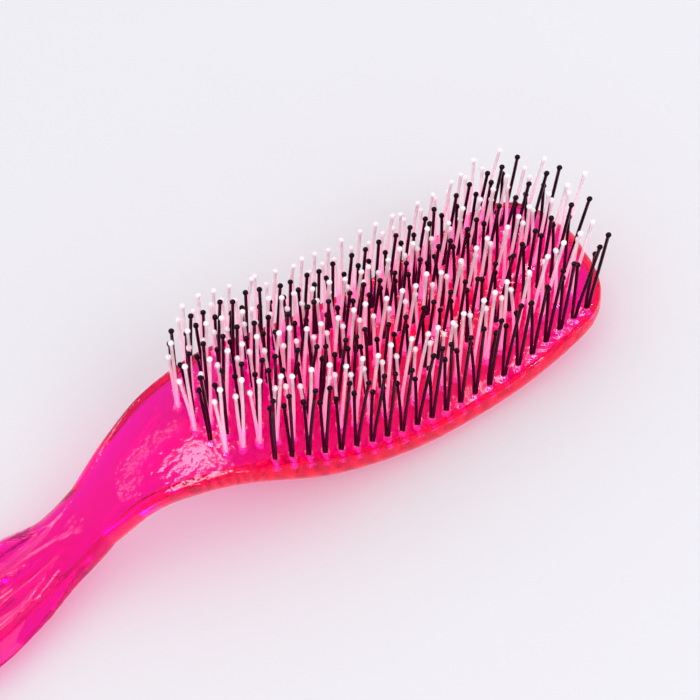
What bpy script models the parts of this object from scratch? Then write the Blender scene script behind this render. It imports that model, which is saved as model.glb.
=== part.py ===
"""Scalp massage brush: a thick clear pink one-piece body and eight rows of folded two-legged pins.

The brush is drawn in the frame of its pins: +X runs from the grip to the tip, +Z runs along the
pins, and x = 0 is the lowest point of the hollow face. An empty then lays it on its back, as it
rests on a table, with the origin under the middle of its box.
"""
import bpy
import bmesh
from math import sin, cos, pi, radians, ceil
from mathutils import Matrix, Vector

MM = 0.001

# Top line of the body, seen from the side: a chain of arcs each way from the hollow's lowest point
scalp_radius = 90 * MM
scalp_front_length = 42 * MM
scalp_back_length = 26 * MM
tip_radius = 60 * MM
tip_length = 22 * MM
shoulder_radius = 46 * MM
shoulder_length = 44 * MM
neck_length = 7 * MM
grip_bend_radius = 66 * MM
grip_bend_length = 34 * MM
grip_end_radius = 300 * MM
grip_end_length = 34 * MM

# Widths and thicknesses of the body
head_width = 49 * MM
neck_width = 18 * MM
grip_width = 35 * MM
head_thickness = 10.5 * MM
tip_thickness = 8 * MM
neck_thickness = 10 * MM
grip_thickness = 16 * MM
rim_radius = 1.2 * MM
crown_height = 4.4 * MM
waist_length = 8 * MM
neck_blend_length = 28 * MM
tip_round_length = 35 * MM
tip_edge_length = 12 * MM
butt_round_length = 15 * MM

# Flutes that are scooped into the grip. Each opens from a point, and a ridge stands between two.
flute_count = 8
flute_depth = 2 * MM
flute_start_length = 17 * MM
flute_run_in = 16 * MM
flute_fade_length = 24 * MM
flute_width_share = 0.88

# Pins: each hole holds one folded filament with a long and a short leg, a ball on each end
hole_pitch = 4 * MM
row_hole_counts = (22, 24, 25, 26, 25, 25, 24, 22)
row_shift_shares = (0.94, -0.39, -0.31, -0.29, -0.36, -0.86, -0.91, -0.46)
field_centre = 6.6 * MM
pin_margin = 3.3 * MM
long_leg_height = 25.4 * MM
short_leg_height = 15.7 * MM
leg_radius = 0.48 * MM
leg_gap = 1.25 * MM
ball_radius = 0.74 * MM
ball_height = 1.2 * MM
long_leg_lean_share = 0.105
short_leg_lean_share = 0.08
fan_lean_share = 0.09
fan_power = 7
leg_sides = 3

# Slices of the face that carry the pins, a few to each row, seated in one groove
slice_width = 2.8 * MM
slice_depth = 3 * MM
seat_gap = 0.3 * MM
slice_names = ("rear", "middle", "front")
slice_end_shares = (0, 0.3, 0.66, 1)
holes_per_slice_step = 2

# Flats on the back where the brush rests, and the overrun of every cut
rest_flat_depth = 0.4 * MM
cut_overrun = 1.5 * MM

# Outline of the body, as shares of the way from the neck's middle to the head and to the butt
head_width_shares = ((0, 0), (0.123, 0.196), (0.214, 0.416), (0.30, 0.593), (0.40, 0.782),
                     (0.554, 0.94), (0.72, 1), (0.89, 0.997), (1, 0.99))
head_thickness_shares = ((0, 0), (0.30, 0.1), (0.554, 0.8), (0.72, 1), (1, 1))
grip_width_shares = ((0, 0), (0.15, 0.07), (0.333, 0.53), (0.54, 0.93), (0.67, 1), (0.85, 0.95), (1, 0.9))
grip_thickness_shares = ((0, 0), (0.25, 0.25), (0.5, 0.8), (0.7, 1), (0.85, 0.95), (1, 0.9))
tip_thin_share = 0.6
field_width_shares = ((0, 0.695), (0.08, 0.79), (0.16, 0.865), (0.31, 0.955), (0.52, 1), (0.72, 1),
                      (0.94, 0.925), (1, 0.89))

# Powers of the cross section's rounded outline: a high power is a slab, 2 is an ellipse.
# The crown across the face fades by its own power where the body is narrower than the head.
crown_power = 3
slab_top_power = 8
slab_back_power = 3.6
grip_power = 2.2
tip_plan_powers = (5, 2.45)
edge_power = 3
butt_power = 2.4

ring_points = 48
stations_per_zone = {"tip": 10, "head": 19, "shoulder": 10, "neck": 5, "grip": 13, "butt": 7}

front_arcs = ((scalp_front_length, 1 / scalp_radius), (tip_length, -1 / tip_radius))
back_arcs = ((scalp_back_length, 1 / scalp_radius), (shoulder_length, -1 / shoulder_radius),
             (neck_length, 0.0), (grip_bend_length, 1 / grip_bend_radius),
             (grip_end_length, 1 / grip_end_radius))
tip_place = scalp_front_length + tip_length
shoulder_place = -scalp_back_length - shoulder_length
neck_place = shoulder_place - waist_length
flute_place = shoulder_place - flute_start_length
butt_place = shoulder_place - neck_length - grip_bend_length - grip_end_length
row_count = len(row_hole_counts)


def smooth_step(share):
    """Ease from 0 to 1 with level ends."""
    share = min(max(share, 0.0), 1.0)
    return share * share * (3 - 2 * share)


def follow(shares, at):
    """Read a table of (place, value) shares along a smooth curve that never overshoots them."""
    places = [p for p, v in shares]
    values = [v for p, v in shares]
    at = min(max(at, places[0]), places[-1])
    chords = [(values[i + 1] - values[i]) / (places[i + 1] - places[i]) for i in range(len(shares) - 1)]
    slopes = [chords[0]]
    for before, after in zip(chords, chords[1:]):
        slopes.append(2 * before * after / (before + after) if before * after > 0 else 0.0)
    slopes.append(chords[-1])
    i = max(j for j in range(len(chords)) if places[j] <= at)
    run = places[i + 1] - places[i]
    t = (at - places[i]) / run
    rise = values[i + 1] - values[i]
    bump = (slopes[i] * run - rise) * (1 - t) - (slopes[i + 1] * run - rise) * t
    return values[i] + rise * t + t * (1 - t) * bump


def top_line(place):
    """x, z and slope of the top line; place is the length along it from the hollow's lowest point."""
    side = 1 if place >= 0 else -1
    x = z = slope = 0.0
    left = abs(place)
    for length, bend in (front_arcs if place >= 0 else back_arcs):
        run = min(left, length)
        turn = side * bend * run
        if bend:
            x += (sin(slope + turn) - sin(slope)) / bend
            z += (cos(slope) - cos(slope + turn)) / bend
        else:
            x += side * run * cos(slope)
            z += side * run * sin(slope)
        slope += turn
        left -= run
    return x, z, slope


def rounding(way, power_in, power_out):
    """Falls from 1 to 0 as way goes from 0 to 1, along a rounded end."""
    way = min(max(way, 0.0), 1.0)
    return (1 - way ** power_in) ** (1 / power_out)


def section_roundness(place):
    """0 where the section is a slab with a crown, as on the head, and 1 where it is round."""
    return smooth_step((shoulder_place - place) / neck_blend_length)


def body_size(place):
    """Half width, thickness, sink below the top line and height of the crown of the body there."""
    sink = crown = 0.0
    if place >= neck_place:
        way = (place - neck_place) / (scalp_front_length - neck_place)
        width = neck_width + (head_width - neck_width) * follow(head_width_shares, way)
        thick = neck_thickness + (head_thickness - neck_thickness) * follow(head_thickness_shares, way)
        tip_way = place / (tip_thin_share * tip_place) - 1 / tip_thin_share + 1
        thick += (tip_thickness - head_thickness) * smooth_step(tip_way)
        crown = crown_height * (width / head_width) ** crown_power * (1 - section_roundness(place))
        edge = rounding((place - tip_place) / tip_edge_length + 1, edge_power, edge_power)
        crown *= edge
        thick *= edge
        width *= rounding((place - tip_place) / tip_round_length + 1, *tip_plan_powers)
    else:
        way = (neck_place - place) / (neck_place - butt_place)
        width = neck_width + (grip_width - neck_width) * follow(grip_width_shares, way)
        thick = neck_thickness + (grip_thickness - neck_thickness) * follow(grip_thickness_shares, way)
        end = rounding((butt_place - place) / butt_round_length + 1, butt_power, butt_power)
        sink = thick * (1 - end) / 2
        width *= end
        thick *= end
    return width / 2, thick, sink, crown


def face_crown(place, y):
    """How far the face rises above its rims at a distance from the middle line."""
    half, thick, sink, crown = body_size(place)
    return crown * (1 + cos(pi * min(abs(y) / half, 1))) / 2


def face_height(x, y):
    """Height of the face at a given x and y."""
    low, high = neck_place, scalp_front_length + tip_length * tip_thin_share
    for _ in range(40):
        place = (low + high) / 2
        line_x, line_z, slope = top_line(place)
        crown = face_crown(place, y)
        if line_x - crown * sin(slope) < x:
            low = place
        else:
            high = place
    return line_z + crown * cos(slope)


def flute_scoop(place, turn):
    """How deep a flute is cut at a place and an angle round the grip."""
    opening = min((flute_place - place) / flute_run_in, 1.0)
    if opening <= 0:
        return 0.0
    fade = smooth_step((place - butt_place) / flute_fade_length)
    way = turn * flute_count / (2 * pi) % 1
    off_middle = abs(2 * way - 1) / (flute_width_share * opening ** (1 / 2))
    return flute_depth * opening * fade * max(1 - off_middle ** 2, 0)


def body_ring(place):
    """One cross section of the body, square to the top line."""
    x, z, slope = top_line(place)
    half, thick, sink, crown = body_size(place)
    roundness = section_roundness(place)
    top_power = slab_top_power + (grip_power - slab_top_power) * roundness
    back_power = slab_back_power + (grip_power - slab_back_power) * roundness
    rim_depth = min(rim_radius, thick / 2)
    rim_depth += (thick / 2 - rim_depth) * roundness
    middle = rim_depth - thick / 2
    ring = []
    for i in range(ring_points):
        turn = 2 * pi * i / ring_points
        across, top = cos(turn), sin(turn) > 0
        power, reach = (top_power, rim_depth) if top else (back_power, rim_depth - thick)
        y = half * across
        h = reach * max(1 - abs(across) ** power, 0) ** (1 / power)
        if place < flute_place:
            radius = max((y ** 2 + (h - middle) ** 2) ** (1 / 2), flute_depth)
            scoop = 1 - flute_scoop(place, turn) / radius
            y *= scoop
            h = middle + (h - middle) * scoop
        drop = h - rim_depth - sink + (face_crown(place, y) if top else 0)
        ring.append(Vector((x - drop * sin(slope), y, z + drop * cos(slope))))
    return ring


def body_places():
    """Where the body's cross sections stand, closer together at both round ends."""
    count = stations_per_zone
    tip_start = tip_place - tip_round_length
    butt_start = butt_place + butt_round_length
    places = [tip_start + tip_round_length * sin(pi / 2 * i / count["tip"]) for i in range(1, count["tip"])]
    places.reverse()
    for start, end, zone in ((tip_start, -scalp_back_length, "head"),
                             (-scalp_back_length, shoulder_place, "shoulder"),
                             (shoulder_place, flute_place, "neck"),
                             (flute_place, butt_start, "grip")):
        places += [start + (end - start) * i / count[zone] for i in range(count[zone])]
    places += [butt_start - butt_round_length * sin(pi / 2 * i / count["butt"]) for i in range(count["butt"])]
    return places


def body_mesh():
    """Skin the cross sections into one closed shell."""
    bm = bmesh.new()
    rings = [[bm.verts.new(p) for p in body_ring(place)] for place in body_places()]
    for ring, following in zip(rings, rings[1:]):
        for i in range(ring_points):
            j = (i + 1) % ring_points
            bm.faces.new((ring[i], ring[j], following[j], following[i]))
    for ring, end in ((rings[0], tip_place), (rings[-1], butt_place)):
        x, z, slope = top_line(end)
        depth = rim_radius if end > 0 else body_size(end)[2]
        pole = bm.verts.new((x + depth * sin(slope), 0, z - depth * cos(slope)))
        for i in range(ring_points):
            bm.faces.new((ring[i], ring[(i + 1) % ring_points], pole))
    bmesh.ops.recalc_face_normals(bm, faces=bm.faces)
    return bm


def rest_tilt(points):
    """Turn about Y that brings the head's back and the grip's back level with each other."""
    split = top_line(neck_place)[0]

    def lowest(side, tilt):
        return min(p.z * cos(tilt) - p.x * sin(tilt) for p in points if side * (p.x - split) > 0)

    low, high = 0.0, radians(45)
    for _ in range(40):
        tilt = (low + high) / 2
        if lowest(1, tilt) > lowest(-1, tilt):
            low = tilt
        else:
            high = tilt
    return low


def row_half_width(x):
    """Distance of the outer rows from the middle line at a given x."""
    span = (max(row_hole_counts) - 1) * hole_pitch
    way = (x - field_centre) / span + 1 / 2
    return (head_width / 2 - pin_margin) * follow(field_width_shares, way)


class Row:
    """The line that one row of holes follows over the face, cut into slices."""

    def __init__(self, number):
        holes = row_hole_counts[number]
        self.share = (2 * number - row_count + 1) / (row_count - 1)
        start = field_centre + hole_pitch * (row_shift_shares[number] - holes / 2)
        ends = [round(holes * share) for share in slice_end_shares]
        self.slices = []
        for first, last in zip(ends, ends[1:]):
            steps = ceil((last - first) / holes_per_slice_step)
            run = (last - first) * hole_pitch / steps
            stations = [self.station(start + first * hole_pitch + run * i) for i in range(steps + 1)]
            places = [start + hole_pitch * (i + 1 / 2) for i in range(first, last)]
            self.slices.append((stations, places))
        self.stations = [self.slices[0][0][0]] + [p for stations, places in self.slices for p in stations[1:]]

    def station(self, x):
        """The near and the far edge of the slice's top at a given x."""
        y = self.share * row_half_width(x)
        sides = (y - slice_width / 2, y + slice_width / 2)
        return tuple(Vector((x, side, face_height(x, side))) for side in sides)

    def edges(self, x):
        """The same two points on the straight run between the two stations round x."""
        i = max([j for j in range(len(self.stations) - 1) if self.stations[j][0].x <= x], default=0)
        here, following = self.stations[i], self.stations[i + 1]
        way = (x - here[0].x) / (following[0].x - here[0].x)
        return tuple(a.lerp(b, way) for a, b in zip(here, following))

    def top(self, x, across=0.0):
        """Point on the slice's top at a distance from the row's middle."""
        near, far = self.edges(x)
        return near.lerp(far, across / slice_width + 1 / 2)

    def fan(self, x):
        """Lean along the row at a given x: none in its middle, and outwards at both ends."""
        start, end = self.stations[0][0].x, self.stations[-1][0].x
        way = (2 * x - start - end) / (end - start)
        return fan_lean_share * way ** fan_power

    def height(self, p):
        """Height of the slice's top under or over a point."""
        near, far = self.edges(p.x)
        return near.lerp(far, (p.y - near.y) / (far.y - near.y)).z


def add_ring(bm, centre, radius, first_turn):
    turns = [first_turn + 2 * pi * i / leg_sides for i in range(leg_sides)]
    return [bm.verts.new(centre + Vector((radius * cos(t), radius * sin(t), 0))) for t in turns]


def add_leg(bm, foot, lean, fan, height, row):
    """One pin leg from the slice's top to its ball; returns the edges of its foot."""
    side = 1 if lean > 0 else -1
    first_turn = side * pi / 2
    along = Vector((fan, lean, 1))
    foot_ring = add_ring(bm, foot, leg_radius, first_turn)
    for vert in foot_ring:
        vert.co.z = row.height(vert.co)
    rings = [foot_ring,
             add_ring(bm, foot + along * (height - ball_height), leg_radius, first_turn),
             add_ring(bm, foot + along * (height - ball_height / 2), ball_radius, first_turn)]
    for ring, following in zip(rings, rings[1:]):
        for i in range(leg_sides):
            j = (i + 1) % leg_sides
            bm.faces.new((ring[i], ring[j], following[j], following[i]))
    top = bm.verts.new(foot + along * height)
    for i in range(leg_sides):
        bm.faces.new((rings[-1][i], rings[-1][(i + 1) % leg_sides], top))
    return [bm.edges.get((foot_ring[i], foot_ring[(i + 1) % leg_sides])) for i in range(leg_sides)]


def pin_slice_mesh(row, stations, places):
    """A slice of the face with the legs of its pins rising from it, as one closed shell."""
    bm = bmesh.new()
    down = Vector((0, 0, -slice_depth))
    start, end = stations[0][0].x + seat_gap / 2, stations[-1][0].x - seat_gap / 2
    corners = []
    for near, far in [row.edges(start)] + stations[1:-1] + [row.edges(end)]:
        corners.append([bm.verts.new(q) for q in (near, far, far + down, near + down)])
    rim = []
    for here, following in zip(corners, corners[1:]):
        for i in (1, 2, 3):
            j = (i + 1) % 4
            bm.faces.new((here[i], here[j], following[j], following[i]))
        rim += [bm.edges.get((here[0], following[0])), bm.edges.get((here[1], following[1]))]
    for end in (corners[0], corners[-1]):
        bm.faces.new(end)
        rim.append(bm.edges.get((end[0], end[1])))
    for x in places:
        fan = row.fan(x)
        rim += add_leg(bm, row.top(x, -leg_gap / 2), -long_leg_lean_share, fan, long_leg_height, row)
        rim += add_leg(bm, row.top(x, leg_gap / 2), short_leg_lean_share, fan, short_leg_height, row)
    bmesh.ops.triangle_fill(bm, use_beauty=True, edges=rim, normal=(0, 0, 1))
    bmesh.ops.recalc_face_normals(bm, faces=bm.faces)
    return bm


def groove_mesh(row):
    """The groove for one row, a seat gap larger than its slices all round."""
    bm = bmesh.new()
    wide = slice_width / 2 + seat_gap
    floor = -slice_depth - seat_gap
    outline = ((-wide, cut_overrun), (-wide, floor), (wide, floor), (wide, cut_overrun))
    line = [p[0].x for p in row.stations]
    line[0] -= seat_gap
    line[-1] += seat_gap
    rings = [[bm.verts.new(row.top(x, across) + Vector((0, 0, z))) for across, z in outline] for x in line]
    for ring, following in zip(rings, rings[1:]):
        for i in range(len(outline)):
            j = (i + 1) % len(outline)
            bm.faces.new((ring[i], ring[j], following[j], following[i]))
    bm.faces.new(rings[0])
    bm.faces.new(rings[-1])
    bmesh.ops.recalc_face_normals(bm, faces=bm.faces)
    return bm


def cut_rest_flats(bm, matrix):
    """Cut the back flat where it would go below the table."""
    inverse = matrix.inverted()
    bottom = inverse @ Vector((0, 0, 0))
    up = inverse.to_3x3() @ Vector((0, 0, 1))
    cut = bmesh.ops.bisect_plane(bm, geom=bm.verts[:] + bm.edges[:] + bm.faces[:], dist=seat_gap / 1000,
                                 plane_co=bottom, plane_no=up, clear_inner=True)
    edges = [e for e in cut["geom_cut"] if isinstance(e, bmesh.types.BMEdge)]
    bmesh.ops.edgeloop_fill(bm, edges=edges)
    bmesh.ops.recalc_face_normals(bm, faces=bm.faces)


def make_material(name, colour, roughness, transmission=0.0):
    material = bpy.data.materials.new(name)
    material.use_nodes = True
    shader = material.node_tree.nodes["Principled BSDF"]
    shader.inputs["Base Color"].default_value = (*colour, 1)
    shader.inputs["Roughness"].default_value = roughness
    shader.inputs["Metallic"].default_value = 0.0
    shader.inputs["Transmission Weight"].default_value = transmission
    material.diffuse_color = (*colour, 1)
    return material


def make_object(name, bm, materials, parent, smooth_angle=35):
    mesh = bpy.data.meshes.new(name)
    bm.to_mesh(mesh)
    bm.free()
    for material in materials:
        mesh.materials.append(material)
    mesh.shade_smooth()
    mesh.set_sharp_from_angle(angle=radians(smooth_angle))
    item = bpy.data.objects.new(name, mesh)
    item.parent = parent
    bpy.context.scene.collection.objects.link(item)
    return item


def paint_slice(item, row):
    """Give the slice of the face its second material, and leave the first to the pins."""
    for polygon in item.data.polygons:
        corners = [item.data.vertices[i].co for i in polygon.vertices]
        highest = max(p.z - row.height(p) for p in corners)
        if highest < leg_radius:
            polygon.material_index = 1


def rest_matrix(meshes):
    """Lay the brush on its back with the middle of its box over the origin."""
    turn = Matrix.Rotation(rest_tilt([v.co for v in meshes[0].verts]), 4, "Y")
    points = [turn @ v.co for bm in meshes for v in bm.verts]
    low = [min(p[i] for p in points) for i in range(3)]
    high = [max(p[i] for p in points) for i in range(3)]
    to_origin = Vector(((-low[0] - high[0]) / 2, (-low[1] - high[1]) / 2, -low[2] - rest_flat_depth))
    return Matrix.Translation(to_origin) @ turn


def build():
    for item in list(bpy.data.objects):
        bpy.data.objects.remove(item, do_unlink=True)
    clear_pink = make_material("clear_pink_plastic", (0.93, 0.01, 0.27), 0.06, transmission=1.0)
    pin_looks = (make_material("black_nylon", (0.012, 0.01, 0.012), 0.25),
                 make_material("white_nylon", (0.9, 0.87, 0.89), 0.3))
    rows = [Row(number) for number in range(row_count)]
    body = body_mesh()
    pin_slices = [[pin_slice_mesh(row, *cut) for cut in row.slices] for row in rows]
    matrix = rest_matrix([body] + [bm for meshes in pin_slices for bm in meshes])
    cut_rest_flats(body, matrix)

    rest_frame = bpy.data.objects.new("rest_frame", None)
    rest_frame.matrix_world = matrix
    bpy.context.scene.collection.objects.link(rest_frame)

    body_item = make_object("brush_body", body, [clear_pink], rest_frame)
    for number, row in enumerate(rows):
        groove = make_object(f"groove_{number + 1}", groove_mesh(row), [clear_pink], rest_frame)
        groove.hide_render = True
        groove.display_type = "WIRE"
        cut = body_item.modifiers.new(groove.name, "BOOLEAN")
        cut.operation = "DIFFERENCE"
        cut.solver = "EXACT"
        cut.object = groove

    for number, (row, meshes) in enumerate(zip(rows, pin_slices)):
        looks = [pin_looks[number % len(pin_looks)], clear_pink]
        for name, bm in zip(slice_names, meshes):
            item = make_object(f"pin_row_{number + 1}_{name}", bm, looks, rest_frame)
            paint_slice(item, row)


build()
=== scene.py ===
# %% [markdown]
# # Scalp massage brush
# The real brush is one thick piece of clear pink plastic, with eight rows of thin nylon pins.
# Each hole holds one folded pin: a long leg and a short leg, each with a melted ball on its end.
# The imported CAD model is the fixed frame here: it gives every size and every place.
# This lesson builds the looks on top of it: the clear body first, then the pins, then light.

import random
from math import cos, pi, radians, sin

import bmesh
import bpy
import numpy as np
from mathutils import Matrix, Vector


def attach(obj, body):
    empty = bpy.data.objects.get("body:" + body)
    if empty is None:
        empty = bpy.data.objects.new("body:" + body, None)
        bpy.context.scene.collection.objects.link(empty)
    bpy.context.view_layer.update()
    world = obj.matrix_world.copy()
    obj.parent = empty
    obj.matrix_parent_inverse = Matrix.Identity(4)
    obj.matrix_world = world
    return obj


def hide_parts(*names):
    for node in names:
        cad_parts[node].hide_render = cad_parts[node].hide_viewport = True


MM = 0.001
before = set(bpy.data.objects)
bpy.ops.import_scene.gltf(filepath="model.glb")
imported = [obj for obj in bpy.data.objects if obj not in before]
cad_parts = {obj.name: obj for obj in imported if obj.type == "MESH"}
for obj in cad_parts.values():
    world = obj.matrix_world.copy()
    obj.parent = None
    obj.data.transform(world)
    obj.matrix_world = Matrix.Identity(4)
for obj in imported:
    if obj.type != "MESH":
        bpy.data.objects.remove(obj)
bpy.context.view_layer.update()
bpy.ops.object.select_all(action="DESELECT")

# %% [markdown]
# ## How the brush lies
# The CAD draws the brush in the frame of its pins: X runs to the tip and Z runs along the pins.
# An empty then tilts it until its head and its grip both touch the table.
# The same turn is written down here once, so that every formula below can stay in the pins' frame.

# %% The turn from the pins' frame to the table
rest_tilt = radians(13.0912029)
rest_shift = Vector((37.5366062, 0.3345087, 12.4386512)) * MM
rest = Matrix.Translation(rest_shift) @ Matrix.Rotation(rest_tilt, 4, "Y")


def on_table(points):
    """Points of the pins' frame, laid on the table."""
    turn = np.array(rest.to_3x3())
    return np.asarray(points) @ turn.T + np.array(rest.translation)


print("tilt of the brush, in degrees:", round(rest_tilt * 180 / pi, 2))

# %% [markdown]
# ## The body's side view
# A moulded handle like this is drawn as a side view first: a chain of arcs that meet smoothly.
# Going each way from the lowest point of the hollow face, an arc is a length and a bend, which is
# one over its radius. The same arcs as the CAD's are used, so that the new surface lies where the
# old one was. A place is a length along this line, above 0 towards the tip.

# %% The top line
hollow_front, hollow_back, tip_arc = 42 * MM, 26 * MM, 22 * MM
hollow_bend = 1 / (90 * MM)
front_arcs = ((hollow_front, hollow_bend), (tip_arc, -1 / (60 * MM)))
back_arcs = ((hollow_back, hollow_bend), (44 * MM, -1 / (46 * MM)), (7 * MM, 0.0),
             (34 * MM, 1 / (66 * MM)), (34 * MM, 1 / (300 * MM)))
tip_place, shoulder_place, neck_place, butt_place = 64 * MM, -70 * MM, -78 * MM, -145 * MM
flute_place = -87 * MM


def top_line(place):
    """x, z and slope of the side view's top edge at a place."""
    side = 1 if place >= 0 else -1
    x = z = slope = 0.0
    left = abs(place)
    for length, bend in (front_arcs if place >= 0 else back_arcs):
        run = min(left, length)
        turn = side * bend * run
        if bend:
            x += (sin(slope + turn) - sin(slope)) / bend
            z += (cos(slope) - cos(slope + turn)) / bend
        else:
            x += side * run * cos(slope)
            z += side * run * sin(slope)
        slope += turn
        left -= run
    return x, z, slope


print("tip at x, z in mm:", [round(a / MM, 1) for a in top_line(tip_place)[:2]])

# %% [markdown]
# ## Tables of widths and thicknesses
# From above, the head is a long pad with a blunt round tip, then a narrow neck and a wider grip.
# Tables along the brush say this as shares: 0 is the neck's size and 1 the head's or the grip's.
# Straight lines between the entries would show as facets, and a plain spline would swell past
# them. So a curve that never overshoots runs through each table, and the outline stays fair.

# %% Tables and a curve through them
head_width, neck_width, grip_width = 49 * MM, 18 * MM, 35 * MM
head_thickness, tip_thickness = 10.5 * MM, 8 * MM
neck_thickness, grip_thickness = 10 * MM, 16 * MM
head_widths = ((0, 0), (0.123, 0.196), (0.214, 0.416), (0.30, 0.593), (0.40, 0.782),
               (0.554, 0.94), (0.72, 1), (0.89, 0.997), (1, 0.99))
head_thicknesses = ((0, 0), (0.30, 0.1), (0.554, 0.8), (0.72, 1), (1, 1))
grip_widths = ((0, 0), (0.15, 0.07), (0.333, 0.53), (0.54, 0.93), (0.67, 1), (0.85, 0.95), (1, 0.9))
grip_thicknesses = ((0, 0), (0.25, 0.25), (0.5, 0.8), (0.7, 1), (0.85, 0.95), (1, 0.9))


def smooth_step(share):
    """0 below 0 and 1 above 1, with a soft rise between."""
    share = min(max(share, 0.0), 1.0)
    return share * share * (3 - 2 * share)


def follow(table, at):
    """Read a table of (place, value) along a smooth curve that never overshoots it."""
    places, values = zip(*table)
    at = min(max(at, places[0]), places[-1])
    chords = [(v2 - v1) / (p2 - p1) for (p1, v1), (p2, v2) in zip(table, table[1:])]
    slopes = [chords[0]]
    for before, after in zip(chords, chords[1:]):
        slopes.append(2 * before * after / (before + after) if before * after > 0 else 0.0)
    slopes.append(chords[-1])
    i = max(j for j in range(len(chords)) if places[j] <= at)
    run = places[i + 1] - places[i]
    t = (at - places[i]) / run
    rise = values[i + 1] - values[i]
    bump = (slopes[i] * run - rise) * (1 - t) - (slopes[i + 1] * run - rise) * t
    return values[i] + rise * t + t * (1 - t) * bump


print("width share a third of the way along the head:", round(follow(head_widths, 1 / 3), 3))

# %% [markdown]
# ## Rounded ends and the size at a place
# A moulded body has no sharp ends: it slims to nothing over a short length at the tip and at the
# butt. Each end has a length, and two powers that say how blunt it is. Between head and grip the
# section turns from a slab into an oval. The side walls below the rim do that sooner than the top.

# %% The size of the body at a place
rim_radius, crown_height, crown_power = 1.2 * MM, 4.4 * MM, 3
tip_edge, tip_outline = (12 * MM, 3, 3), (35 * MM, 5, 2.45)
butt_end = (15 * MM, 2.4, 2.4)
tip_taper = 0.6
top_turns_oval, hull_turns_oval = (-50 * MM, 42 * MM), (-15 * MM, 50 * MM)


def rounding(past, end):
    """1 along the brush, falling to 0 where a rounded end stops; past is below 0 before it."""
    length, power_in, power_out = end
    way = min(max(past / length + 1, 0.0), 1.0)
    return (1 - way ** power_in) ** (1 / power_out)


def roundness_at(place, zone):
    """0 on the flat-sided head, 1 on the oval grip; a zone is where it starts and its length."""
    start, run = zone
    return smooth_step((start - place) / run)


def body_size(place):
    """Half width, thickness, sink below the top line and height of the crown at a place."""
    sink = crown = 0.0
    if place >= neck_place:
        way = (place - neck_place) / (hollow_front - neck_place)
        width = neck_width + (head_width - neck_width) * follow(head_widths, way)
        thick = neck_thickness + (head_thickness - neck_thickness) * follow(head_thicknesses, way)
        thinning = smooth_step(place / (tip_taper * tip_place) - 1 / tip_taper + 1)
        thick += (tip_thickness - head_thickness) * thinning
        crown = crown_height * (width / head_width) ** crown_power
        crown *= 1 - roundness_at(place, top_turns_oval)
        edge = rounding(place - tip_place, tip_edge)
        crown *= edge
        thick *= edge
        width *= rounding(place - tip_place, tip_outline)
    else:
        way = (neck_place - place) / (neck_place - butt_place)
        width = neck_width + (grip_width - neck_width) * follow(grip_widths, way)
        thick = neck_thickness + (grip_thickness - neck_thickness) * follow(grip_thicknesses, way)
        end = rounding(butt_place - place, butt_end)
        sink = thick * (1 - end) / 2
        width *= end
        thick *= end
    return width / 2, thick, sink, crown


print("half width and thickness at the middle, mm:", [round(a / MM, 1) for a in body_size(0.0)[:2]])

# %% [markdown]
# ## Flutes in the grip
# Eight long scoops run down the grip, so that wet fingers hold it. On the real one each scoop
# begins in a point, like a petal, and a crisp ridge stands between two of them. They could be cut
# out with a Boolean, but a formula for their depth keeps the mesh in clean rings.
# Here a scoop is a round valley between two ridges; it is narrow where it starts, which makes
# the point, and it opens to its full width further on.

# %% The depth of a flute
flute_count, flute_depth = 8, 2 * MM
flute_opening_length, flute_fading_length = 16 * MM, 24 * MM
flute_share, point_power, valley_power = 0.92, 0.5, 1.1


def flute_scoop(place, turns):
    """How deep the flutes are cut at a place, for an array of angles round the grip."""
    opening = min(max((flute_place - place) / flute_opening_length, 1e-6), 1.0)
    fade = smooth_step((place - butt_place) / flute_fading_length)
    off_middle = np.abs(2 * (turns * flute_count / (2 * pi) % 1) - 1)
    off_middle = off_middle / (flute_share * opening ** point_power)
    return flute_depth * opening * fade * np.maximum(1 - off_middle ** 2, 0) ** valley_power


middle_of_grip, middle_of_flute = -115 * MM, np.array([pi / flute_count])
print("deepest flute, mm:", round(float(flute_scoop(middle_of_grip, middle_of_flute)[0]) / MM, 2))

# %% [markdown]
# ## One cross section
# Cut across the head, the body is a slab with a low crown and soft rims; cut across the grip it is
# nearly an ellipse. A superellipse covers both with one number: a high power gives a slab, and 2
# gives an ellipse. On the slab the points are spread evenly along the edge, so that its rims get
# as many as its middle; on the grip they go by angle, so that they follow the flutes.

# %% Points of a cross section
ring_points = 144
top_power, hull_power, oval_power = 8, 3.6, 2.2


def face_crown(place, across):
    """Height of the crown at a place, for one or more distances from the middle."""
    half, _, _, crown = body_size(place)
    return crown * (1 + np.cos(pi * np.minimum(np.abs(across) / half, 1))) / 2


def section(place, turns):
    """Points of one cross section, in the pins' frame, for an array of angles."""
    x, z, slope = top_line(place)
    half, thick, sink, _ = body_size(place)
    roundness = roundness_at(place, top_turns_oval)
    rim_depth = min(rim_radius, thick / 2)
    rim_depth += (thick / 2 - rim_depth) * roundness
    across, top = np.cos(turns), np.sin(turns) > 0
    power = np.where(top, top_power + (oval_power - top_power) * roundness,
                     hull_power + (oval_power - hull_power) * roundness_at(place, hull_turns_oval))
    reach = np.where(top, rim_depth, rim_depth - thick)
    y = half * across
    h = reach * np.maximum(1 - np.abs(across) ** power, 0) ** (1 / power)
    if place < flute_place:
        middle = rim_depth - thick / 2
        scoop = 1 - flute_scoop(place, turns) / np.maximum(np.hypot(y, h - middle), flute_depth)
        y, h = y * scoop, middle + (h - middle) * scoop
    drop = h - rim_depth - sink + np.where(top, face_crown(place, y), 0)
    return np.stack([x - drop * sin(slope), y, z + drop * cos(slope)], -1)


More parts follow.
